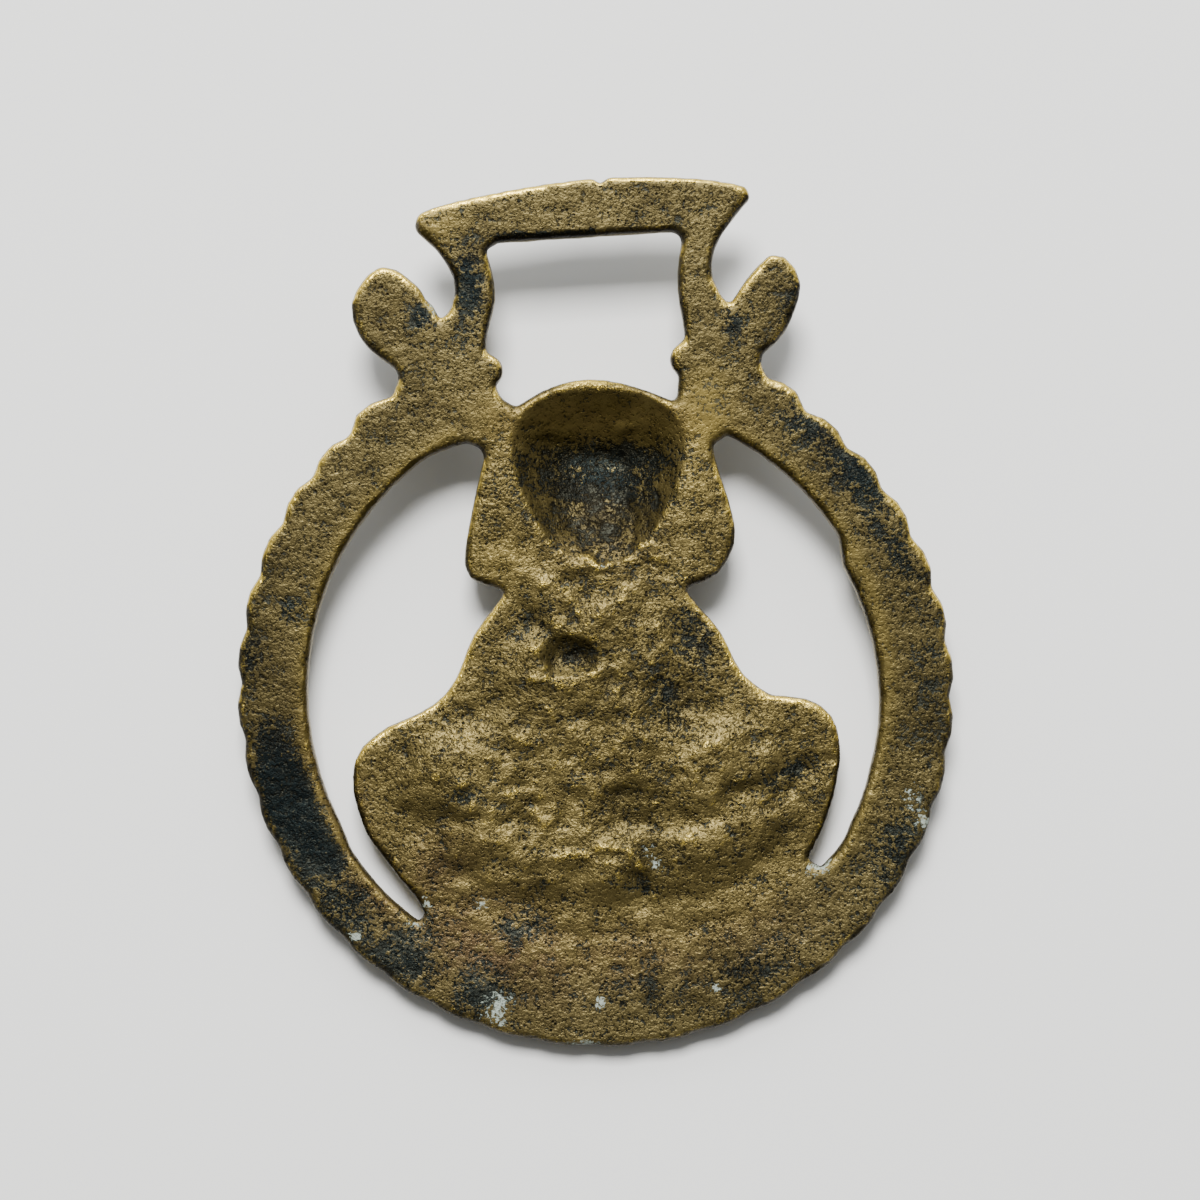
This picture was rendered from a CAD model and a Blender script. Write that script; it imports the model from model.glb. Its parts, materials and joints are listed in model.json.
import json
import math

import bpy
import numpy as np
from mathutils import Matrix, Vector, noise


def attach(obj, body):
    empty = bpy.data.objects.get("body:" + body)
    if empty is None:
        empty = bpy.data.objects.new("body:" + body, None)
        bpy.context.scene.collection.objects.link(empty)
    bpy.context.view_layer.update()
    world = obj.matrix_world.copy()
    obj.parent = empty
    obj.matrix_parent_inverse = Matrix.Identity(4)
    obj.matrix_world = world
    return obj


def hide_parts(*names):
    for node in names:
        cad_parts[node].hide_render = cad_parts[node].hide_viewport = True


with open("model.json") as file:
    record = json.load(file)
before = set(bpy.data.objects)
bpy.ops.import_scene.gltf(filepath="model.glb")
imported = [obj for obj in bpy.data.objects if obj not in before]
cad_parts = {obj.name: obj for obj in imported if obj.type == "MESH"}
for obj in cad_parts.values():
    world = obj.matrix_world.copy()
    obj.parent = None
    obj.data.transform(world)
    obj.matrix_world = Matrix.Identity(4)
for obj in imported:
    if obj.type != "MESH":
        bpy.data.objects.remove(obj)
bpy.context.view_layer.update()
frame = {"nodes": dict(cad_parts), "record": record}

bl_info = {
    "name": "Horse Brass",
    "version": (1, 0, 0),
    "blender": (4, 5, 0),
    "location": "3D View > Sidebar > Brass",
    "description": "The cast skin, worked relief, patina and stage of a horse brass that lies "
                   "face down",
    "category": "Object",
}

MM = 0.001

# The plan of the brass has its origin at the ring's centre, on the flat back, with x to the
# right, y towards the strap loop and z out of the back, in millimetres. Turns about that centre
# are in degrees from +x.
RING_MIDDLE = 33.5  # radius of the ring's middle line, where the mount on its back is, at y = 0
LOBES, LOBE_PITCH, FIRST_NOTCH = 33, 9.0, 125.0
LAST_NOTCH = FIRST_NOTCH + LOBES * LOBE_PITCH
BACK = next(mount for mount in frame["record"]["mounts"] if mount["name"] == "back")
TILT = math.atan2(-BACK["axis"][1], BACK["axis"][2])
PLAN = (Matrix.Translation(Vector(BACK["pos_m"])) @ Matrix.Rotation(TILT, 4, "X")
        @ Matrix.Translation((RING_MIDDLE * MM, 0, 0)) @ Matrix.Scale(MM, 4))


# ---- sizes and colours -------------------------------------------------------------------------


class BrassCasting(bpy.types.PropertyGroup):
    grain: bpy.props.FloatProperty(
        name="Grain", description="Spacing of the points of the cast skin", default=0.35 * MM,
        unit="LENGTH")
    rounding: bpy.props.IntProperty(
        name="Rounding", description="Passes that soften the edges of the casting", default=3,
        min=0)
    easing: bpy.props.IntProperty(
        name="Easing", description="Passes that run the forms of the relief into each other",
        default=16, min=0)
    lump: bpy.props.FloatProperty(
        name="Lumps", description="Height of the broad lumps of the cast skin",
        default=0.26 * MM, unit="LENGTH")
    ripple: bpy.props.FloatProperty(
        name="Ripples", description="Height of the small ripples of the cast skin",
        default=0.09 * MM, unit="LENGTH")


class BrassFinish(bpy.types.PropertyGroup):
    def tint(label, what, colour):
        return bpy.props.FloatVectorProperty(
            name=label, description=what, default=colour, size=3, subtype="COLOR", min=0, max=1)

    tan: tint("Tan", "Dull brass on the high grains", (0.140, 0.108, 0.037))
    mid: tint("Olive-gold", "The main colour between grain and tarnish", (0.074, 0.0565, 0.0175))
    olive: tint("Olive", "Brown-olive tarnish between the grains", (0.030, 0.0235, 0.0078))
    soot: tint("Soot", "Dark dirt in the pits", (0.0080, 0.0062, 0.0026))
    blue_black: tint("Blue-black", "Heavy dark patches", (0.0024, 0.0062, 0.0078))
    ash: tint("Ash", "Grey grains in the heavy dark patches", (0.050, 0.054, 0.042))
    rosy: tint("Rosy brown", "Coppery brown stains", (0.100, 0.062, 0.032))
    gold: tint("Gold", "Bare metal on worn edges", (0.86, 0.62, 0.11))
    grey: tint("Grey-olive", "Duller grains on the ring and the strap loop",
               (0.115, 0.100, 0.053))
    chalk: tint("Chalk", "Pale green-white mineral specks", (0.36, 0.42, 0.36))


class BrassStage(bpy.types.PropertyGroup):
    distance: bpy.props.FloatProperty(
        name="Camera distance", description="From the camera to the back of the brass",
        default=0.36, unit="LENGTH")
    width: bpy.props.FloatProperty(
        name="Width in view", description="Width of the view at the back of the brass",
        default=0.12428, unit="LENGTH")
    key_power: bpy.props.FloatProperty(
        name="Window light", description="Power of the soft light from beyond the strap loop",
        default=24.0)
    sky: bpy.props.FloatProperty(
        name="Room light",
        description="Strength of the light from all round, brightest beyond the loop",
        default=0.50)
    glow: bpy.props.FloatProperty(
        name="Far wall", description="Extra light beyond the loop, seen in the worn edges",
        default=6.0)
    floor: bpy.props.FloatVectorProperty(
        name="Floor", description="Colour of the plain floor", default=(0.76, 0.765, 0.76),
        size=3, subtype="COLOR", min=0, max=1)


# ---- helpers -----------------------------------------------------------------------------------


def deselect_all():
    if bpy.context.object and bpy.context.object.mode != "OBJECT":
        bpy.ops.object.mode_set(mode="OBJECT")
    bpy.ops.object.select_all(action="DESELECT")


def make_active(piece):
    deselect_all()
    piece.select_set(True)
    bpy.context.view_layer.objects.active = piece


def finish_modifier(piece, name, kind, **settings):
    """Adds a modifier and applies it."""
    modifier = piece.modifiers.new(name, kind)
    for key, value in settings.items():
        setattr(modifier, key, value)
    make_active(piece)
    bpy.ops.object.modifier_apply(modifier=modifier.name)


def kept(piece, what):
    """The places ("co") or normals ("normal") of the piece's points, in the frame."""
    values = np.empty(len(piece.data.vertices) * 3)
    piece.data.vertices.foreach_get(what, values)
    return values.reshape(-1, 3)


def points_of(piece):
    """The piece's points in the plan and their normals there."""
    back = np.array(PLAN.inverted())
    turn = np.array(PLAN.to_3x3().normalized().inverted())
    return kept(piece, "co") @ back[:3, :3].T + back[:3, 3], kept(piece, "normal") @ turn.T


def place_points(piece, points):
    """Moves the piece's points to places given in the plan."""
    out = np.array(PLAN)
    piece.data.vertices.foreach_set("co", (points @ out[:3, :3].T + out[:3, 3]).ravel())
    piece.data.update()


def group_by(piece, name, weight, levels=20):
    """A vertex group from a weight for each point, in some levels."""
    group = piece.vertex_groups.new(name=name)
    steps = np.round(np.clip(weight, 0, 1) * levels).astype(int)
    for step in range(1, levels + 1):
        chosen = np.nonzero(steps == step)[0]
        if len(chosen):
            group.add(chosen.tolist(), step / levels, "REPLACE")


def ramp(value, low, high):
    """0 below low, 1 above high, smooth between."""
    t = np.clip((value - low) / (high - low), 0, 1)
    return t * t * (3 - 2 * t)


def band(distance, width):
    """1 in the middle of a band, and falling away over about its width."""
    return np.exp(-((distance / width) ** 2))


def polar(points):
    """Each point's radius and turn about the ring's centre."""
    turn = np.degrees(np.arctan2(points[:, 1], points[:, 0])) % 360
    return np.hypot(points[:, 0], points[:, 1]), turn


def off_line(points, line):
    """The distance from each point to a line through some places of the plan, seen along z."""
    nearest = np.full(len(points), np.inf)
    for (ax, ay), (bx, by) in zip(line, line[1:]):
        dx, dy = bx - ax, by - ay
        along = ((points[:, 0] - ax) * dx + (points[:, 1] - ay) * dy) / (dx * dx + dy * dy)
        along = np.clip(along, 0, 1)
        gap = np.hypot(points[:, 0] - ax - along * dx, points[:, 1] - ay - along * dy)
        nearest = np.minimum(nearest, gap)
    return nearest


def bead(points, line, width, height):
    """A ridge (or, with a negative height, a groove) along a line."""
    return height * band(off_line(points, line), width)


def mound(points, centre, radii, height, turn=0.0):
    """A soft oval mound or dip."""
    c, s = math.cos(turn), math.sin(turn)
    x, y = points[:, 0] - centre[0], points[:, 1] - centre[1]
    u, v = (x * c + y * s) / radii[0], (y * c - x * s) / radii[1]
    return height * np.exp(-(u * u + v * v))


def rough(points, size, octaves=2, seed=0):
    """Uneven values between about -1 and 1, whose lumps are about size across."""
    shift = Vector((17.3 * seed, 5.1 * seed, 9.7 * seed))
    return np.array([noise.fractal(Vector(p) / size + shift, 0.9, 2.1, octaves) for p in points])


def crumpled(points, size, seed=0):
    """Uneven values like rough, but with sharp little crests between round dips."""
    large, small = rough(points, size, 1, seed), rough(points, 0.45 * size, 1, seed + 5)
    return 0.7 - 2.2 * np.abs(large) - 0.9 * np.abs(small)


def wander(points, size, reach, seed=0):
    """The points moved to and fro in the plan, so that lines measured from them are uneven."""
    moved = points.copy()
    moved[:, 0] += reach * rough(points, size, 2, seed + 1)
    moved[:, 1] += reach * rough(points, size, 2, seed + 2)
    return moved


def arc(radius, start, end, count):
    """Places along an arc about the ring's centre."""
    angles = [math.radians(start + (end - start) * i / (count - 1)) for i in range(count)]
    return [(radius * math.cos(a), radius * math.sin(a)) for a in angles]


# ---- the casting -------------------------------------------------------------------------------


def casting():
    piece = bpy.data.objects.get("brass_casting")
    if piece is None:
        raise RuntimeError("The casting is made first")
    return piece


WELD = 0.000002  # points of the solid that are closer than this, in metres, become one
FRONT_FORMS = (2.1, 2.7)  # how far below the back the forms of the front begin
HOLLOW_RIM = (0.25, 0.9)  # how far below the back the hollow behind the head begins
WALL_HEIGHT = (-2.2, -0.4)  # between these heights lie the casting's side walls
BLUNTED = [((-19.1, 48.2), (1.3, 1.3), 1.0), ((8.9, 47.6), (1.1, 1.1), 1.0)]  # tips of the bar


class BRASS_OT_casting(bpy.types.Operator):
    """Copy the solid, give it one even skin of small faces, and round its edges"""

    bl_idname = "brass.casting"
    bl_label = "Casting"

    def execute(self, context):
        sizes = context.scene.brass_casting
        deselect_all()
        piece = bpy.data.objects.new("brass_casting", frame["nodes"]["horse_brass"].data.copy())
        context.scene.collection.objects.link(piece)
        make_active(piece)
        bpy.ops.object.mode_set(mode="EDIT")
        bpy.ops.mesh.select_all(action="SELECT")
        bpy.ops.mesh.remove_doubles(threshold=WELD)
        bpy.ops.object.mode_set(mode="OBJECT")
        finish_modifier(
            piece, "Skin", "REMESH", mode="VOXEL", voxel_size=sizes.grain, use_smooth_shade=True)
        finish_modifier(piece, "Rounding", "SMOOTH", factor=0.5, iterations=sizes.rounding)

        points, normals = points_of(piece)
        front = ramp(-points[:, 2], *FRONT_FORMS)
        hollow = ramp(-points[:, 2], *HOLLOW_RIM) * (normals[:, 2] > 0.2)
        near_back = (np.abs(points[:, 2]) < 1.4) & (normals[:, 2] > 0.6)
        on_body = mound(points, (0, -8), (21, 16), 1.4) * near_back
        ring_line = arc(RING_MIDDLE, FIRST_NOTCH, LAST_NOTCH, 60)
        on_body = np.where(off_line(points, ring_line) < 3.0, 0, on_body)
        tips = [mound(points, *tip) for tip in BLUNTED]
        group_by(piece, "Eased", np.maximum.reduce([front, hollow, on_body, *tips]))
        finish_modifier(
            piece, "Easing", "SMOOTH", factor=0.5, iterations=sizes.easing, vertex_group="Eased")
        return {"FINISHED"}


# ---- worked relief -----------------------------------------------------------------------------


def back_relief(points):
    """Height that is added to the back: the creases and lumps that answer the work on the front.

    Ridges and grooves are (places, width, height), and lumps are (middle, radii, height, turn).
    """
    ridges = [
        ([(-1.8, 13.3), (0.9, 12.9), (2.2, 13.2)], 0.50, 0.55),
        ([(-5.4, 10.9), (-3.3, 9.9), (-1.3, 8.7)], 0.55, 0.60),
        ([(-7.0, 12.4), (-4.6, 11.6)], 0.6, 0.35),
        ([(5.6, 14.3), (7.4, 13.4), (8.9, 12.2)], 0.5, 0.35),
        ([(-5.6, 1.2), (-3.2, 0.9), (-0.8, 1.9)], 0.55, 0.55),
        ([(0.6, 8.0), (2.8, 9.6)], 0.6, 0.30), ([(-9.0, -10.9), (-5.4, -11.1)], 0.6, 0.40),
        ([(-15.0, -11.9), (-10.6, -12.6)], 0.7, 0.30),
        ([(-10.4, -12.0), (-7.0, -12.8), (-4.2, -13.0)], 0.7, 0.40),
        ([(-4.4, -17.4), (-1.0, -16.9)], 0.6, 0.45), ([(0.9, -16.2), (2.9, -16.6)], 0.5, 0.45),
        ([(4.0, -18.0), (5.4, -19.2), (5.6, -21.0)], 0.6, 0.50),
        ([(12.0, -5.4), (18.0, -3.6)], 0.9, 0.30), ([(9.0, -15.4), (13.0, -15.0)], 0.9, 0.15),
        ([(1.0, 2.2), (6.0, 1.2)], 0.8, 0.28), ([(-2.2, -10.4), (3.0, -9.6)], 0.8, 0.30),
        ([(-16.5, -8.8), (-12.0, -9.4)], 0.8, 0.25), ([(-11.4, -19.4), (-7.0, -20.2)], 0.8, 0.30),
        ([(8.4, -7.4), (13.6, -8.6)], 0.8, 0.25), ([(-8.0, -4.8), (-3.6, -6.2)], 0.8, 0.25),
    ]
    grooves = [
        ([(-5.4, 25.9), (-1.6, 25.0), (2.7, 24.5)], 0.8, -0.50),
        ([(5.4, 25.2), (7.4, 24.8)], 0.7, -0.35), ([(-2.4, 17.8), (-0.4, 14.6)], 0.7, -0.35),
        ([(2.4, 19.6), (3.8, 16.2)], 0.7, -0.35),
        ([(24.6, -7.2), (21.6, -8.4), (18.4, -11.0)], 0.7, -0.60),
        ([(-7.8, 8.2), (-4.8, 6.3)], 1.1, -0.45),
        ([(-17.7, -21.4), (-10.9, -23.0), (-7.8, -24.4), (0.5, -25.7), (8.7, -25.2),
          (16.0, -23.1)], 0.7, -0.22),
    ]
    lumps = [
        ((7.6, -0.4), (2.2, 3.0), -0.40, 0.3), ((10.2, 5.0), (2.4, 2.6), -0.32, 0.0),
        ((-14.4, -6.4), (5.0, 2.6), 0.30, 0.2), ((4.6, -19.6), (1.8, 1.8), -0.50, 0.0),
        ((2.6, 27.4), (2.4, 1.1), 0.30, 0.0), ((-8.8, 20.0), (2.2, 5.0), 0.12, 0.1),
        ((9.6, 19.0), (2.2, 5.0), 0.12, -0.1), ((-16.6, -16.6), (4.6, 2.2), 0.28, 0.7),
        ((-2.6, 3.6), (2.6, 1.9), 0.42, -0.2), ((-2.3, 3.7), (1.3, 0.7), -0.35, -0.1),
        ((-6.6, 6.6), (2.0, 1.5), -0.35, 0.5), ((11.4, -12.2), (5.6, 2.0), 0.58, 0.02),
        ((-9.6, -13.0), (4.6, 1.5), 0.36, 0.0), ((4.0, -16.6), (13.0, 2.4), -0.20, 0.05),
        ((17.6, -11.4), (2.0, 1.4), 0.22, 0.3),
    ]
    uneven = wander(points, 3.0, 0.9, 4)
    height = sum(bead(uneven, line, width, rise) for line, width, rise in ridges + grooves)
    height = 0.44 * height * (1.0 + 0.7 * rough(points, 1.6, 2, 9))
    for lump in lumps:
        height = height + mound(uneven, *lump)
    return height


def front_lines():
    """The lines worked on the front: (places, width, height), a negative height being a cut."""
    lines = []
    face = 0.2  # the face's middle line

    def work(width, height, *places):
        lines.append((list(places), width, height))

    for side in (-1, 1):
        # strands of the bob, which spread from the crown and hang to the turned-in ends
        for i in range(7):
            reach = i / 6
            top = (side * (5.2 + 3.4 * reach), 28.4 - 4.6 * reach)
            foot = (side * (6.6 + 6.8 * reach), 11.6 + 1.6 * reach)
            knee = (0.5 * (top[0] + foot[0]) + side * 0.5, 0.5 * (top[1] + foot[1]))
            work(0.30, -0.30, top, knee, foot)
        for i in range(6):
            crown = (side * (0.4 + 0.5 * i), 31.0 - 0.12 * i * i)
            work(0.28, -0.28, crown, (side * (0.5 + 1.25 * i), 24.0 + 0.1 * i))
        # closed eyelids and the folds above them
        lid = (1.5, 21.0), (2.8, 20.5), (4.1, 20.9)
        fold = (1.4, 22.2), (3.0, 22.0), (4.3, 21.7)
        work(0.22, -0.28, *((face + side * x, y) for x, y in lid))
        work(0.22, -0.20, *((face + side * x, y) for x, y in fold))
        # sleeves, cuffs and the robe's folds over the thighs and shins
        for i in range(4):
            work(0.4, -0.26, (side * (8.6 + 1.3 * i), 6.6 - 1.2 * i), (side * (9.0 + i), 0.6 - i))
        work(0.35, 0.35, (side * 5.4, -5.2), (side * 6.9, -9.4))
        work(0.30, -0.30, (side * 6.2, -5.0), (side * 7.7, -9.0))
        for i in range(5):
            work(0.42, -0.28, (side * (8.6 + 0.3 * i), -9.4 - 0.7 * i),
                 (side * (15.5 - 0.5 * i), -8.9 - 1.9 * i),
                 (side * (21.0 - 1.6 * i), -9.6 - 2.3 * i))
        # fingers laid side by side in the lap, and the toes that show under the robe
        for i in range(4):
            knuckle = (side * (0.5 + 0.1 * i), -7.4 - 0.9 * i)
            work(0.20, -0.26, knuckle, (side * (3.7 - 0.3 * i), -7.0 - 0.9 * i))
        for i in range(3):
            work(0.20, -0.22, (side * (-3.2 + 0.9 * i), -22.0), (side * (-3.4 + 0.9 * i), -20.4))
    # neckline, the lap-over of the robe, its sash and the lips
    work(0.35, 0.35, (4.4, 9.0), (1.6, 3.6), (-1.8, -1.8))
    work(0.35, 0.32, (-4.2, 9.0), (-1.6, 5.6), (0.2, 3.0))
    work(0.30, -0.25, (3.2, 9.4), (0.6, 4.4), (-2.4, -0.6))
    for level in (-2.2, -4.0):
        work(0.35, -0.28, (-7.6, level + 0.9), (0.2, level), (7.8, level + 0.9))
    work(0.20, -0.25, (-1.3, 15.9), (0.2, 15.75), (1.7, 15.9))
    # two lines round the cushion
    for drop in (0, 1.5):
        work(0.35, -0.24, (-16 + drop, -24.6 - drop), (-8, -27.0 - drop), (0.2, -27.8 - drop),
             (8.4, -27.0 - drop), (16.4 - drop, -24.6 - drop))
    # the side veins of the leaves, from each leaf's middle along its rib
    for middle, lean in (((-21.2, 38.6), 118), ((17.9, 40.2), 66)):
        along = Vector((math.cos(math.radians(lean)), math.sin(math.radians(lean))))
        across = Vector((-along.y, along.x))
        for i in range(4):
            root = Vector(middle) + along * (-2.8 + 1.6 * i)
            for side in (-1, 1):
                work(0.25, -0.22, tuple(root), tuple(root + along * 1.5 + across * side * 2.0))
    # a cut line that follows the strap loop's bar and legs
    work(0.30, -0.22, (-16.4, 48.4), (-9.0, 50.6), (0.0, 51.6), (9.0, 51.4), (13.8, 50.6))
    work(0.28, -0.20, (-13.2, 46.6), (-12.6, 42.0), (-13.2, 38.2))
    work(0.28, -0.20, (11.0, 47.2), (10.3, 43.0), (11.2, 39.2))
    return lines


GROOVE_DEPTH = 0.30  # of the grooves between the ring's gadroons
GROOVE_WIDTH, GROOVE_SLANT = 0.11, 0.45  # in parts of the pitch
GROOVE_FOOT, GROOVE_LENGTH = 30.8, 5.0  # where they start and how far they reach, from the centre


def gadroon_grooves(points):
    """How deep the slanting grooves between the ring's gadroons are at each point."""
    radius, turn = polar(points)
    turn = np.where(turn < 70, turn + 360, turn)
    slant = GROOVE_SLANT * ((radius - GROOVE_FOOT) / GROOVE_LENGTH - 0.5)
    lobe = (turn - FIRST_NOTCH) / LOBE_PITCH - slant
    on_ring = ramp(radius, 30.4, 31.0) * ramp(-radius, -36.4, -35.8)
    on_ring = on_ring * ((turn > FIRST_NOTCH) & (turn < LAST_NOTCH))
    return GROOVE_DEPTH * on_ring * band(np.abs(lobe - np.round(lobe)), GROOVE_WIDTH)


# Mounds that move points in the plan: (middle, radii, how far). The walls move along x. The last
# of them blunts the pointed corner of the bar, the others give the two slots beside the knees
# their uneven width.
NICK = ((0.5, 52.9), (0.55, 1.0), 0.5)
CHIP, CHIP_PULL = ((-17.6, 40.4), (0.9, 0.9), 0.45), (0.8, 0.5)
MOVED_WALLS = [
    ((-22.6, -13.9), (1.6, 2.4), -0.40), ((-18.4, -21.2), (1.6, 2.4), 0.45),
    ((21.9, -16.6), (1.4, 2.0), -0.35), ((26.0, -16.6), (1.4, 2.0), 0.40),
    ((29.6, -9.6), (1.6, 4.0), -0.28), ((23.4, -9.6), (1.5, 3.6), 0.28),
    ((-19.4, 48.2), (0.9, 0.9), 0.45),
]
LUMPY = [((0.3, -10), (21, 13), 1.5), ((0.3, 5), (9, 15), 1.4)]  # the figure's lap and trunk
RESTING = (0.25, 1.0)  # above the floor, where the ripples set in


class BRASS_OT_relief(bpy.types.Operator):
    """Work the fine relief of both faces, and the lumps and ripples of the cast skin"""

    bl_idname = "brass.relief"
    bl_label = "Relief"

    def execute(self, context):
        sizes = context.scene.brass_casting
        piece = casting()
        points, normals = points_of(piece)
        facing = ramp(normals[:, 2], 0.25, 0.7)
        points[:, 2] += facing * back_relief(points)

        # the front faces the floor, so that what stands out there goes down
        face_down = ramp(-normals[:, 2], 0.2, 0.6) * (points[:, 2] < -1.6)
        chosen = face_down > 0
        near = points[chosen]
        drawn = wander(near, 4.0, 0.25, 2)
        height = sum(bead(drawn, line, width, rise) for line, width, rise in front_lines())
        points[chosen, 2] -= face_down[chosen] * (height - gadroon_grooves(near))

        # a nick in the top of the bar, and the chipped corner of the leaf beside the loop
        points[:, 1] -= mound(points, *NICK)
        chip = mound(points, *CHIP)
        for axis, pull in enumerate(CHIP_PULL):
            points[:, axis] -= chip * pull
        for wall in MOVED_WALLS:
            points[:, 0] += mound(points, *wall)
        place_points(piece, points)

        # the cast skin: broad lumps on the figure's back, and small ripples above where it rests
        points, normals = points_of(piece)
        free = ramp(kept(piece, "co")[:, 2] / MM, *RESTING)
        figure = np.maximum(*(mound(points, *part) for part in LUMPY))
        lumpy = ramp(normals[:, 2], 0.3, 0.8) * np.clip(figure, 0, 1)
        broad, sharp = rough(points, 4.2, 2, 11), crumpled(points, 2.9, 12)
        lift = lumpy * (sizes.lump * broad + 0.30 * sizes.lump * sharp)
        lift = lift + free * sizes.ripple * rough(points, 0.95, 3, 13) * (0.4 + 0.6 * lumpy)
        place_points(piece, points + normals * (lift / MM)[:, None])
        for group in list(piece.vertex_groups):
            piece.vertex_groups.remove(group)
        make_active(piece)
        bpy.ops.object.shade_smooth()
        return {"FINISHED"}


# ---- patina ------------------------------------------------------------------------------------

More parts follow.
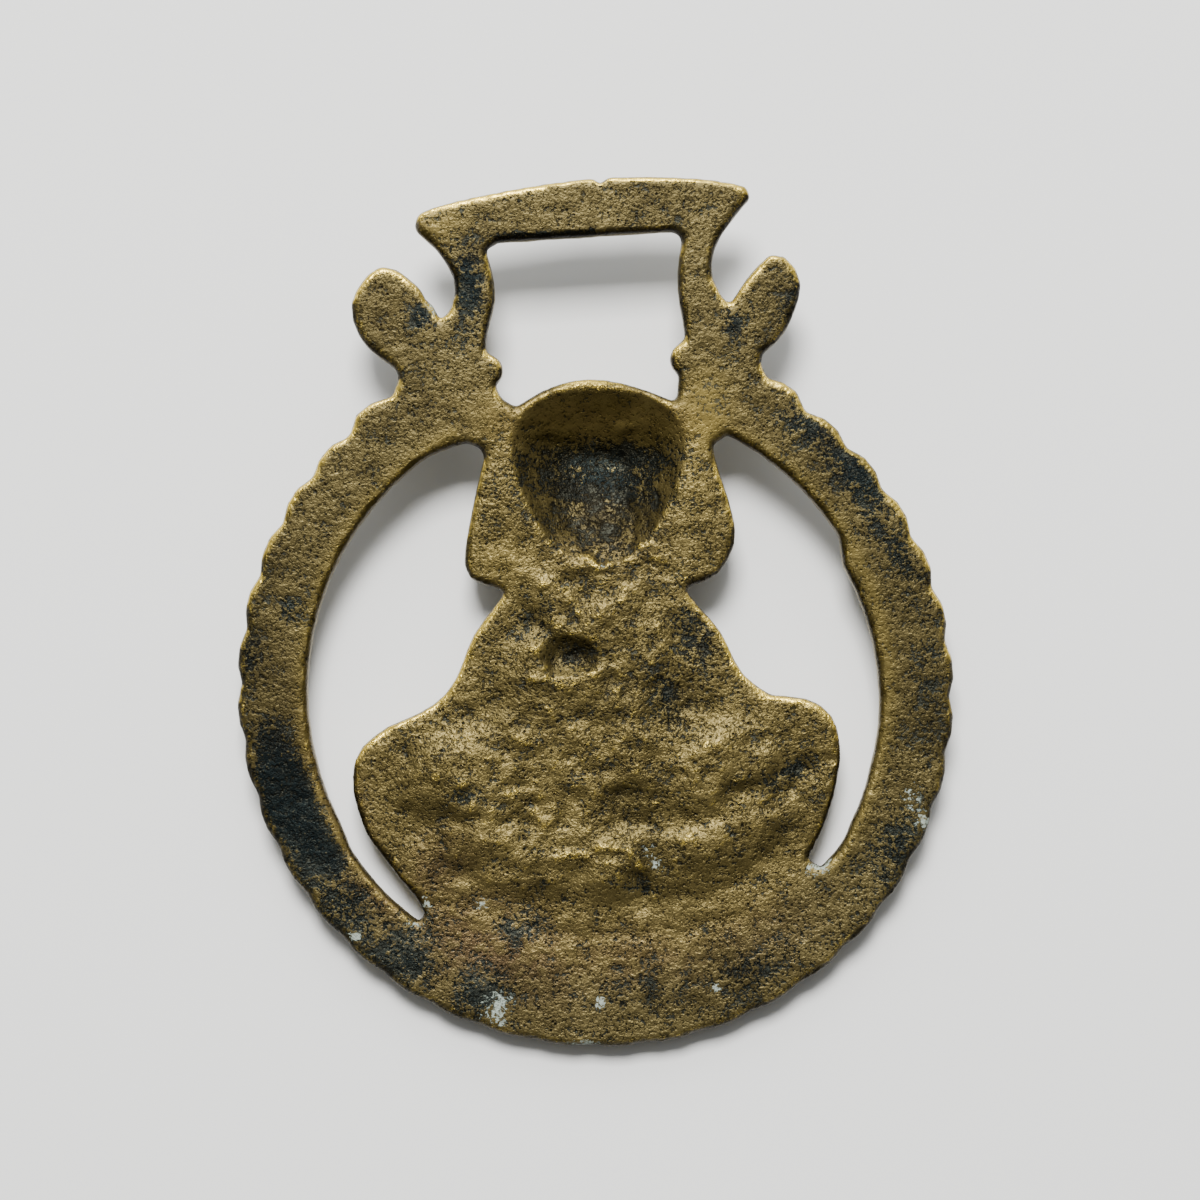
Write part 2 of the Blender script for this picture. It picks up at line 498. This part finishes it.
# Where each stain lies on the back: (x, y), (half width, half length), strength, turn
STAINS = {
    "blued": [
        ((-33.4, -6.0), (1.9, 3.2), 0.85, 0.2), ((-31.6, -11.2), (2.7, 4.8), 1.4, 0.4),
        ((-28.8, -16.4), (2.5, 3.4), 1.15, 0.5), ((-35.6, 3.6), (1.1, 3.0), 0.65, 0.0),
        ((-31.8, 8.6), (1.4, 1.2), 0.5, 0.0), ((-25.6, -23.0), (3.2, 4.6), 0.6, 0.8),
        ((-20.0, -27.6), (3.4, 3.4), 0.75, 0.9), ((-11.6, -31.4), (3.0, 2.2), 0.8, -0.4),
        ((22.6, 27.0), (3.6, 2.0), 0.60, -0.55), ((27.0, 22.6), (4.6, 2.2), 0.75, -0.85),
        ((29.2, 17.2), (1.8, 3.6), 0.5, 0.4), ((0.8, 24.2), (6.4, 1.3), 1.0, 0.0),
        ((0.6, 21.4), (5.4, 2.8), 0.90, 0.0), ((0.9, 16.8), (3.8, 3.2), 0.52, 0.0),
        ((-13.4, 42.4), (1.9, 3.6), 0.8, 0.1), ((-12.4, 37.6), (2.2, 3.0), 0.4, 0.0),
        ((20.7, 40.6), (1.2, 3.2), 0.7, -0.2), ((14.2, 37.9), (1.0, 1.4), 0.6, 0.0),
        ((-18.0, 38.6), (1.0, 1.4), 0.8, 0.0), ((10.4, 5.4), (2.2, 3.6), 0.55, 0.4),
        ((7.6, -0.8), (1.6, 3.2), 0.6, 0.3), ((-2.5, 3.4), (1.5, 0.9), 0.70, 0.2),
        ((20.0, -8.6), (2.8, 1.0), 0.6, 0.5), ((-12.6, -10.8), (2.2, 1.6), 0.45, 0.0),
        ((-8.2, -24.6), (2.6, 1.6), 0.55, 0.0), ((16.4, -29.0), (5.0, 2.6), 0.45, 0.5),
        ((31.4, -16.0), (2.6, 5.0), 0.5, -0.5), ((34.6, 2.0), (1.6, 9.0), 0.35, 0.0),
        ((4.4, -20.6), (1.6, 1.0), 0.5, 0.0), ((-6.0, 7.4), (2.6, 1.6), 0.4, 0.4),
        ((31.6, 14.4), (2.0, 5.0), 0.5, 0.5), ((12.0, 30.8), (1.8, 1.4), 0.3, 0.0),
        ((6.0, -31.5), (5.0, 2.0), 0.35, 0.1),
    ],
    "rosy": [
        ((-11.0, -26.6), (7.4, 4.0), 0.9, -0.3), ((-26.6, -11.0), (1.6, 7.0), 0.8, 0.35),
        ((-22.0, -21.4), (2.0, 5.0), 0.8, 0.7), ((0.0, 28.6), (8.0, 2.2), 0.6, 0.0),
        ((-16.4, -18.4), (3.4, 2.4), 0.6, 0.8), ((4.0, -28.0), (9.0, 3.0), 0.45, 0.0),
        ((-35.6, -12.0), (1.0, 9.0), 0.5, 0.3), ((16.4, -26.0), (5.0, 3.0), 0.4, 0.4),
        ((0.6, 15.0), (4.0, 2.0), 0.3, 0.0),
    ],
    "clean": [
        ((0.3, 28.4), (8.0, 2.2), 1.3, 0.0), ((11.4, 28.6), (1.9, 3.0), 1.3, 0.0),
        ((9.0, 29.3), (2.4, 0.8), 0.8, 0.3), ((-16.6, 47.8), (2.4, 1.4), 0.5, 0.5),
        ((-10.6, 28.6), (1.6, 2.4), 0.5, 0.0), ((10.4, 24.4), (1.2, 4.0), 0.35, 0.0),
        ((-9.6, 13.4), (2.4, 2.0), 0.35, 0.0),
    ],
    "dull": [
        ((0.6, 27.6), (8.2, 2.8), 0.3, 0.0), ((0.6, 19.0), (5.6, 5.6), 1.0, 0.0),
        ((-2.6, 3.3), (2.0, 1.3), 1.0, 0.0), ((-4.2, 6.2), (2.6, 2.6), 0.7, 0.6),
        ((8.6, -1.8), (2.0, 3.4), 0.8, 0.1), ((10.6, 4.8), (3.4, 3.4), 0.5, 0.0),
        ((21.6, -9.0), (3.4, 1.6), 0.6, 0.6), ((-16.0, -8.0), (3.0, 4.0), 0.5, 0.2),
        ((6.0, -17.6), (1.6, 3.0), 0.8, 0.3), ((12.0, -16.6), (9.0, 2.6), 0.35, 0.1),
        ((0.0, 23.0), (7.6, 6.0), 0.6, 0.0), ((0.0, -30.0), (22.0, 4.0), 0.05, 0.0),
        ((35.0, -4.0), (2.0, 14.0), 0.15, 0.1), ((-34.6, 4.0), (2.2, 12.0), 0.4, 0.0),
        ((10.8, 17.6), (1.8, 4.5), 0.45, 0.0), ((-20.6, -7.0), (3.0, 3.6), 0.40, 0.0),
        ((0.0, -23.4), (16.0, 1.2), 0.35, 0.0), ((-1.0, 3.8), (9.0, 7.0), 0.5, 0.0),
        ((18.6, 38.8), (1.6, 5.0), 0.5, -0.3),
    ],
    "chalk": [
        ((-10.2, -33.0), (1.1, 1.5), 1.0, -0.4), ((-11.7, -22.3), (0.5, 0.5), 1.1, 0.0),
        ((0.5, -32.3), (0.45, 0.45), 1.1, 0.0), ((12.5, -30.8), (0.45, 0.35), 1.1, 0.0),
        ((34.1, -13.4), (0.7, 0.8), 1.0, 0.0), ((23.3, -18.3), (1.1, 0.6), 0.9, 0.3),
        ((-24.9, -25.3), (0.7, 0.4), 1.1, -0.4), ((6.0, -17.6), (0.5, 1.3), 0.8, 0.4),
        ((-16.7, 40.0), (0.5, 0.9), 0.9, 0.5), ((-17.6, -22.0), (0.35, 0.6), 0.9, 0.4),
        ((-18.8, -24.2), (0.9, 0.3), 0.7, 0.0), ((-1.6, -36.6), (1.4, 0.35), 0.9, 0.0),
        ((32.6, -11.2), (0.8, 1.4), 0.5, 0.0), ((-0.4, 12.8), (1.2, 0.4), 0.5, 0.0),
    ],
}


def smoothed(values, ends, passes):
    """Values averaged with those of neighbouring points, again and again."""
    count = len(values)
    first, second = ends[:, 0], ends[:, 1]
    shared = np.bincount(first, minlength=count) + np.bincount(second, minlength=count)
    shared = np.maximum(shared, 1)[:, None]
    for _ in range(passes):
        total = np.stack([
            np.bincount(first, column[second], minlength=count)
            + np.bincount(second, column[first], minlength=count) for column in values.T], 1)
        values = 0.5 * values + 0.5 * total / shared
    return values


def standing_out(points, normals, ends, passes):
    """How far each point stands out from its smoothed surroundings."""
    return np.einsum("ij,ij->i", points - smoothed(points, ends, passes), normals)


def keep_on(piece, name, values):
    """Keeps a number from 0 to 1 for each point, under the name that the material reads."""
    field = piece.data.attributes.new(name, "FLOAT", "POINT")
    field.data.foreach_set("value", np.clip(values, 0, 1).astype(np.float32))


class Nodes:
    """A short way to write a material's nodes."""

    def __init__(self, tree):
        self.tree = tree

    def feed(self, socket, value):
        """Links the socket to another one, or gives it a fixed value."""
        if isinstance(value, bpy.types.NodeSocket):
            self.tree.links.new(value, socket)
        else:
            socket.default_value = value

    def add(self, kind, settings=None, **inputs):
        """A new node, its inputs by name or by number (i0, i1 and so on)."""
        node = self.tree.nodes.new(kind)
        for key, value in (settings or {}).items():
            setattr(node, key, value)
        for name, value in inputs.items():
            by_number = name[0] == "i" and name[1:].isdigit()
            self.feed(node.inputs[int(name[1:]) if by_number else name.replace("_", " ")], value)
        return node

    def field(self, name):
        return self.add("ShaderNodeAttribute", {"attribute_name": name}).outputs["Fac"]

    def sums(self, operation, a, b, clamp=False):
        settings = {"operation": operation, "use_clamp": clamp}
        return self.add("ShaderNodeMath", settings, i0=a, i1=b).outputs[0]

    def fit(self, value, low, high, out_low=0.0, out_high=1.0):
        """The value carried smoothly from one range over to another."""
        node = self.add("ShaderNodeMapRange", {"interpolation_type": "SMOOTHSTEP"}, Value=value,
                        From_Min=low, From_Max=high, To_Min=out_low, To_Max=out_high)
        return node.outputs[0]

    def noise(self, where, size, detail=2.0, roughness=0.5, distortion=0.0):
        node = self.add("ShaderNodeTexNoise", {"noise_dimensions": "3D"}, Vector=where,
                        Scale=1.0 / (size * MM), Detail=detail, Roughness=roughness,
                        Distortion=distortion)
        return node.outputs["Fac"]

    def off(self, value):
        """A noise as its distance from its middle."""
        return self.sums("SUBTRACT", value, 0.5)

    def weigh(self, start, *parts):
        """A start value with some fields added, each times its own weight."""
        total = start
        for field, weight in parts:
            node = self.add("ShaderNodeMath", {"operation": "MULTIPLY_ADD"}, i0=field, i1=weight,
                            i2=total)
            total = node.outputs[0]
        return total

    def steps(self, value, *stops):
        """Colours along a value, smooth between the stops."""
        node = self.add("ShaderNodeValToRGB", Fac=value)
        elements = node.color_ramp.elements
        while len(elements) < len(stops):
            elements.new(0.5)
        for element, (place, colour) in zip(elements, stops):
            element.position, element.color = place, colour
        return node.outputs[0]

    def blend(self, amount, first, second):
        """A colour blended over another."""
        node = self.add("ShaderNodeMix", {"data_type": "RGBA", "blend_type": "MIX"}, i0=amount,
                        i6=first, i7=second)
        return node.outputs[2]


BROAD, MIDDLING, GRAIN, FINE = 7.0, 1.7, 0.37, 0.17  # sizes of the skin's mottling, in mm
PIT_SPACING = 0.62  # in mm


def aged_brass(finish):
    """The patina's material. It reads the fields that the patina step keeps on the casting."""
    material = bpy.data.materials.new("aged_brass")
    material.use_nodes = True
    tree = material.node_tree
    tree.nodes.clear()
    n = Nodes(tree)
    tint = {name: (*getattr(finish, name), 1.0) for name in BrassFinish.__annotations__}
    stains = ("blued", "rosy", "clean", "chalk", "dull")
    blued, rosy, clean, chalk, dull = (n.field(name) for name in stains)
    marks = ("worn", "sunk", "side", "raised", "crest", "greyed", "low")
    worn, sunk, side, raised, crest, greyed, low = (n.field(name) for name in marks)

    where = n.add("ShaderNodeTexCoord").outputs["Object"]
    broad = n.noise(where, BROAD, 3.0, 0.6)
    middling = n.noise(where, MIDDLING, 3.0, 0.58, 0.3)
    grain = n.noise(where, GRAIN, 2.0, 0.6, 0.5)
    fine = n.noise(where, FINE, 1.0, 0.5)
    pore = n.fit(n.weigh(0.0, (grain, 1.0), (n.off(middling), 0.25), (dull, 0.05)), 0.54, 0.63)
    pitted = n.add("ShaderNodeTexVoronoi", {"feature": "F1", "distance": "EUCLIDEAN"},
                   Vector=where, Scale=1.0 / (PIT_SPACING * MM))
    reach = n.fit(middling, 0.38, 0.60, 0.09, 0.30)
    from_middle = n.sums("DIVIDE", pitted.outputs["Distance"], reach)
    pit = n.sums("SUBTRACT", 1.0, from_middle, clamp=True)

    # Tone runs from clean tan grains, through olive tarnish, to dirt. Pores, hollows and stains
    # are darker.
    tone = n.weigh(0.32, (pore, 0.33), (n.off(fine), 0.45), (n.off(middling), 0.48),
                   (n.off(broad), 0.85), (greyed, 0.15), (low, -0.17), (sunk, 0.20), (dull, 0.26),
                   (clean, -0.14), (worn, -0.20), (raised, -0.16), (crest, -0.06), (blued, 0.08))
    # the strap loop, the leaves and the upper ring are more even than the figure and the foot
    even = n.sums("MULTIPLY", greyed, n.sums("SUBTRACT", 1.0, low))
    tone = n.weigh(tone, (n.sums("MULTIPLY", even, n.sums("SUBTRACT", 0.52, tone)), 0.30))
    colour = n.steps(tone, (0.10, tint["tan"]), (0.42, tint["mid"]), (0.68, tint["olive"]),
                     (0.95, tint["soot"]))
    duller = n.steps(tone, (0.10, tint["grey"]), (0.62, tint["olive"]), (0.95, tint["soot"]))
    colour = n.blend(n.sums("MULTIPLY", greyed, 0.25), colour, duller)
    rosy_here = n.sums("MULTIPLY", rosy, n.fit(middling, 0.38, 0.58, 0.30, 0.9), clamp=True)
    rosy_tint = n.steps(tone, (0.15, tint["rosy"]), (0.8, tint["soot"]))
    colour = n.blend(rosy_here, colour, rosy_tint)
    colour = n.blend(n.sums("MULTIPLY", n.fit(pit, 0.05, 0.35), 0.92), colour, tint["soot"])

    # The blue-black patches break up into specks at their edges. Inside they keep a little of the
    # grain, and ashy flecks.
    flecks = n.weigh(0.0, (blued, 1.0), (n.off(grain), 1.9), (n.off(middling), 1.5),
                     (n.off(fine), 0.7))
    blue = n.fit(flecks, 0.24, 0.54)
    deep = n.steps(tone, (0.15, tint["ash"]), (0.50, tint["blue_black"]), (0.9, tint["soot"]))
    ashy = n.weigh(0.0, (n.off(middling), 1.0), (n.off(grain), 0.6), (n.off(fine), 0.5))
    deep = n.blend(n.fit(ashy, 0.06, 0.20, 0.0, 0.45), deep, tint["ash"])
    colour = n.blend(n.sums("MULTIPLY", blue, 0.97), colour, deep)
    colour = n.blend(n.sums("MULTIPLY", side, 0.85), colour, tint["soot"])

    # bare metal on worn edges, on clean places, on the front's highest work and on small crests
    rub = n.sums("MULTIPLY", worn, n.fit(middling, 0.30, 0.52, 0.45, 1.0))
    rub = n.sums("MAXIMUM", rub, n.sums("MULTIPLY", clean, 0.08))
    rub = n.sums("MAXIMUM", rub, n.sums("MULTIPLY", raised, 0.30))
    rub = n.sums("MAXIMUM", rub, n.sums("MULTIPLY", crest, n.fit(fine, 0.46, 0.62, 0.0, 0.65)))
    unblued = n.sums("SUBTRACT", 1.0, n.sums("MULTIPLY", blue, 0.7))
    rub = n.sums("MULTIPLY", rub, unblued, clamp=True)
    colour = n.blend(rub, colour, tint["gold"])
    # mineral crust
    crust = n.weigh(0.0, (chalk, 1.0), (n.off(middling), 2.0), (n.off(grain), 3.2))
    crust = n.sums("MULTIPLY", n.fit(crust, 0.50, 0.95), n.fit(chalk, 0.05, 0.30))
    colour = n.blend(n.sums("MULTIPLY", crust, 0.72), colour, tint["chalk"])

    metal = n.weigh(0.74, (rub, 0.26), (blue, 0.14), (crust, -0.9))
    rough = n.weigh(0.34, (fine, 0.16), (rub, -0.20), (blue, 0.08), (crust, 0.4))
    height = n.weigh(0.0, (pore, -0.03), (grain, -0.10), (middling, -0.20), (fine, -0.015),
                     (pit, -0.09), (crust, 0.05))
    calm = n.weigh(1.0, (n.sums("MAXIMUM", clean, worn), -0.55), (even, -0.22))
    worked = n.weigh(n.sums("MULTIPLY", height, calm), (worn, -0.04), (side, -0.12))
    bump = n.add("ShaderNodeBump", Height=worked, Strength=1.0, Distance=1.0 * MM)
    shader = n.add("ShaderNodeBsdfPrincipled", Base_Color=colour, Metallic=metal, Roughness=rough,
                   Specular_IOR_Level=0.25, Normal=bump.outputs["Normal"])
    n.add("ShaderNodeOutputMaterial", Surface=shader.outputs[0])
    return material


STAIN_SPREAD = 1.25  # the stains are this much wider than STAINS says
BAR_SCRATCH = [(-9.8, 46.9), (-6.0, 47.0), (-0.5, 47.2)]  # a dark line along the strap loop's bar


class BRASS_OT_patina(bpy.types.Operator):
    """Mark where the casting is worn, sunk and stained, and give it its aged brass"""

    bl_idname = "brass.patina"
    bl_label = "Patina"

    def execute(self, context):
        piece = casting()
        mesh = piece.data
        points, normals = points_of(piece)
        radius, turn = polar(points)
        ends = np.empty(len(mesh.edges) * 2, dtype=np.int32)
        mesh.edges.foreach_get("vertices", ends)
        ends = ends.reshape(-1, 2)

        # The rounded edges lie beside the casting's walls. Those that face the strap loop's end
        # are worn bright, and the others are dark.
        lowest, highest = WALL_HEIGHT
        wall = (points[:, 2] > lowest) & (points[:, 2] < highest) & (np.abs(normals[:, 2]) < 0.4)
        wall = wall.astype(float)
        beside_wall = ramp(smoothed(wall[:, None], ends, 5)[:, 0], 0.01, 0.12)
        tilt = smoothed(normals, ends, 1)
        edge = beside_wall * ramp(1 - tilt[:, 2], 0.015, 0.10)
        bore = ramp(radius, 27.6, 28.6) * (1 - ramp(radius, 31.5, 32.5))
        worn = (1 - bore) * edge * ramp(tilt[:, 1], 0.08, 0.24) * ramp(tilt[:, 2], 0.25, 0.6)
        dark = edge * (1 - ramp(tilt[:, 1], -0.1, 0.25))
        keep_on(piece, "worn", worn)
        keep_on(piece, "side", np.maximum(dark, wall * 0.6) * (1 - worn))

        # the strap loop's end and the ring are greyer, the foot and the right side lighter
        loop = ramp(points[:, 1], 31.0, 35.0)
        right = ramp(points[:, 0], 24, 30) * ramp(-points[:, 1], -4, 8)
        keep_on(piece, "greyed", np.maximum(ramp(radius, 27.5, 31.0), loop))
        keep_on(piece, "low", ramp(-points[:, 1], 12, 26) + 0.6 * right)

        back = ramp(normals[:, 2], -0.1, 0.3)
        broad = standing_out(points, normals, ends, 50)
        small = standing_out(points, normals, ends, 4)
        keep_on(piece, "raised", (1 - back) * ramp(broad, 0.02, 0.35) * 0.9)
        keep_on(piece, "sunk", ramp(-broad, 0.03, 0.40))
        keep_on(piece, "crest", back * (1 - beside_wall) * ramp(small, 0.02, 0.09))

        for name, stains in STAINS.items():
            field = np.zeros(len(points))
            for middle, radii, strength, lean in stains:
                wide = [STAIN_SPREAD * half for half in radii]
                field = np.maximum(field, mound(points, middle, wide, strength, lean))
            if name == "clean":
                # the ring's inner edge is cleaner beside the open gaps
                gaps = ((turn > 118) & (turn < 232)) | (turn > 322) | (turn < 65)
                field = np.maximum(field, 0.55 * band(radius - 30.3, 0.9) * gaps)
            if name == "blued":
                # the patch on the left stops short of that edge
                left = (turn > 170) & (turn < 228)
                field = field * (1 - 0.8 * band(radius - 30.2, 1.0) * left)
                field = np.maximum(field, 1.1 * band(off_line(points, BAR_SCRATCH), 0.55))
            keep_on(piece, name, field * back)

        mesh.materials.clear()
        mesh.materials.append(aged_brass(context.scene.brass_finish))
        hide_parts("horse_brass")
        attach(piece, "root")
        return {"FINISHED"}


# ---- stage -------------------------------------------------------------------------------------

FLOOR_SIZE = 3.0  # in metres, far wider than the view
SKY_COLOUR = (0.96, 0.985, 1.0, 1.0)
SKY_EVEN, SKY_RISE, SKY_LEAST = 0.72, 1.3, 0.04  # all round, added towards +y, and the least
FAR_WALL, FAR_WALL_TIGHTNESS = (0.82, 0.57), 24.0  # its direction (y, z), and how sharply it ends
WINDOW_PLACE, WINDOW_SIZE, WINDOW_COLOUR = (-0.06, 0.50, 0.90), 0.34, (1.0, 0.985, 0.955)
VIEW_MIDDLE = (0.46, 9.39)  # in the plan
SENSOR_WIDTH = 36.0


class BRASS_OT_stage(bpy.types.Operator):
    """Set the plain floor, the soft light and the camera above the back of the brass"""

    bl_idname = "brass.stage"
    bl_label = "Stage"

    def execute(self, context):
        scene = context.scene
        stage = scene.brass_stage
        deselect_all()
        bpy.ops.mesh.primitive_plane_add(size=FLOOR_SIZE, location=(0, 0, 0))
        floor = context.object
        floor.name = "floor"
        plaster = bpy.data.materials.new("pale_floor")
        plaster.use_nodes = True
        shader = plaster.node_tree.nodes["Principled BSDF"]
        shader.inputs["Base Color"].default_value = (*stage.floor, 1.0)
        shader.inputs["Roughness"].default_value = 0.85
        shader.inputs["Specular IOR Level"].default_value = 0.2
        floor.data.materials.append(plaster)

        # room light that is brightest beyond the strap loop, with one bright far wall there
        world = bpy.data.worlds.new("room")
        world.use_nodes = True
        n = Nodes(world.node_tree)
        sky = world.node_tree.nodes["Background"]
        toward = n.add("ShaderNodeTexCoord").outputs["Generated"]
        y, z = n.add("ShaderNodeSeparateXYZ", Vector=toward).outputs[1:]
        spread = n.weigh(SKY_EVEN * stage.sky, (y, SKY_RISE * stage.sky))
        facing = n.sums("MAXIMUM", n.weigh(0.0, (y, FAR_WALL[0]), (z, FAR_WALL[1])), 0.0)
        glow = n.sums("MULTIPLY", n.sums("POWER", facing, FAR_WALL_TIGHTNESS), stage.glow)
        n.feed(sky.inputs["Strength"], n.sums("ADD", n.sums("MAXIMUM", spread, SKY_LEAST), glow))
        n.feed(sky.inputs["Color"], SKY_COLOUR)
        scene.world = world

        bpy.ops.object.light_add(type="AREA", location=WINDOW_PLACE)
        window = context.object
        window.name = "window"
        window.data.shape = "SQUARE"
        window.data.size = WINDOW_SIZE
        window.data.energy = stage.key_power
        window.data.color = WINDOW_COLOUR
        window.rotation_euler = (-Vector(WINDOW_PLACE)).to_track_quat("-Z", "Y").to_euler()

        # the camera looks straight down on the brass's back
        up = (PLAN.to_3x3() @ Vector((0, 1, 0))).normalized()
        out = (PLAN.to_3x3() @ Vector((0, 0, 1))).normalized()
        place = PLAN @ Vector((*VIEW_MIDDLE, 0.0)) + out * stage.distance
        bpy.ops.object.camera_add(location=place)
        camera = context.object
        camera.name = "camera"
        axes = Matrix((up.cross(out), up, out)).transposed()
        camera.matrix_world = Matrix.Translation(place) @ axes.to_4x4()
        camera.data.sensor_width = SENSOR_WIDTH
        camera.data.lens = SENSOR_WIDTH * stage.distance / stage.width
        camera.data.clip_start = 0.01
        scene.camera = camera
        return {"FINISHED"}


class BRASS_PT_panel(bpy.types.Panel):
    """The steps that make the brass"""

    bl_idname = "BRASS_PT_panel"
    bl_label = "Horse Brass"
    bl_space_type = "VIEW_3D"
    bl_region_type = "UI"
    bl_category = "Brass"

    def draw(self, context):
        column = self.layout.column()
        scene = context.scene
        for group in (scene.brass_casting, scene.brass_finish, scene.brass_stage):
            for name in group.__annotations__:
                column.prop(group, name)
        for step in STEPS:
            column.operator(step.bl_idname)


STEPS = (BRASS_OT_casting, BRASS_OT_relief, BRASS_OT_patina, BRASS_OT_stage)
GROUPS = (BrassCasting, BrassFinish, BrassStage)


def register():
    for item in GROUPS + STEPS + (BRASS_PT_panel,):
        bpy.utils.register_class(item)
    bpy.types.Scene.brass_casting = bpy.props.PointerProperty(type=BrassCasting)
    bpy.types.Scene.brass_finish = bpy.props.PointerProperty(type=BrassFinish)
    bpy.types.Scene.brass_stage = bpy.props.PointerProperty(type=BrassStage)


def unregister():
    del bpy.types.Scene.brass_casting, bpy.types.Scene.brass_finish, bpy.types.Scene.brass_stage
    for item in reversed(GROUPS + STEPS + (BRASS_PT_panel,)):
        bpy.utils.unregister_class(item)


def main():
    register()
    bpy.ops.brass.casting()
    bpy.ops.brass.relief()
    bpy.ops.brass.patina()
    bpy.ops.brass.stage()


if __name__ == "__main__":
    main()
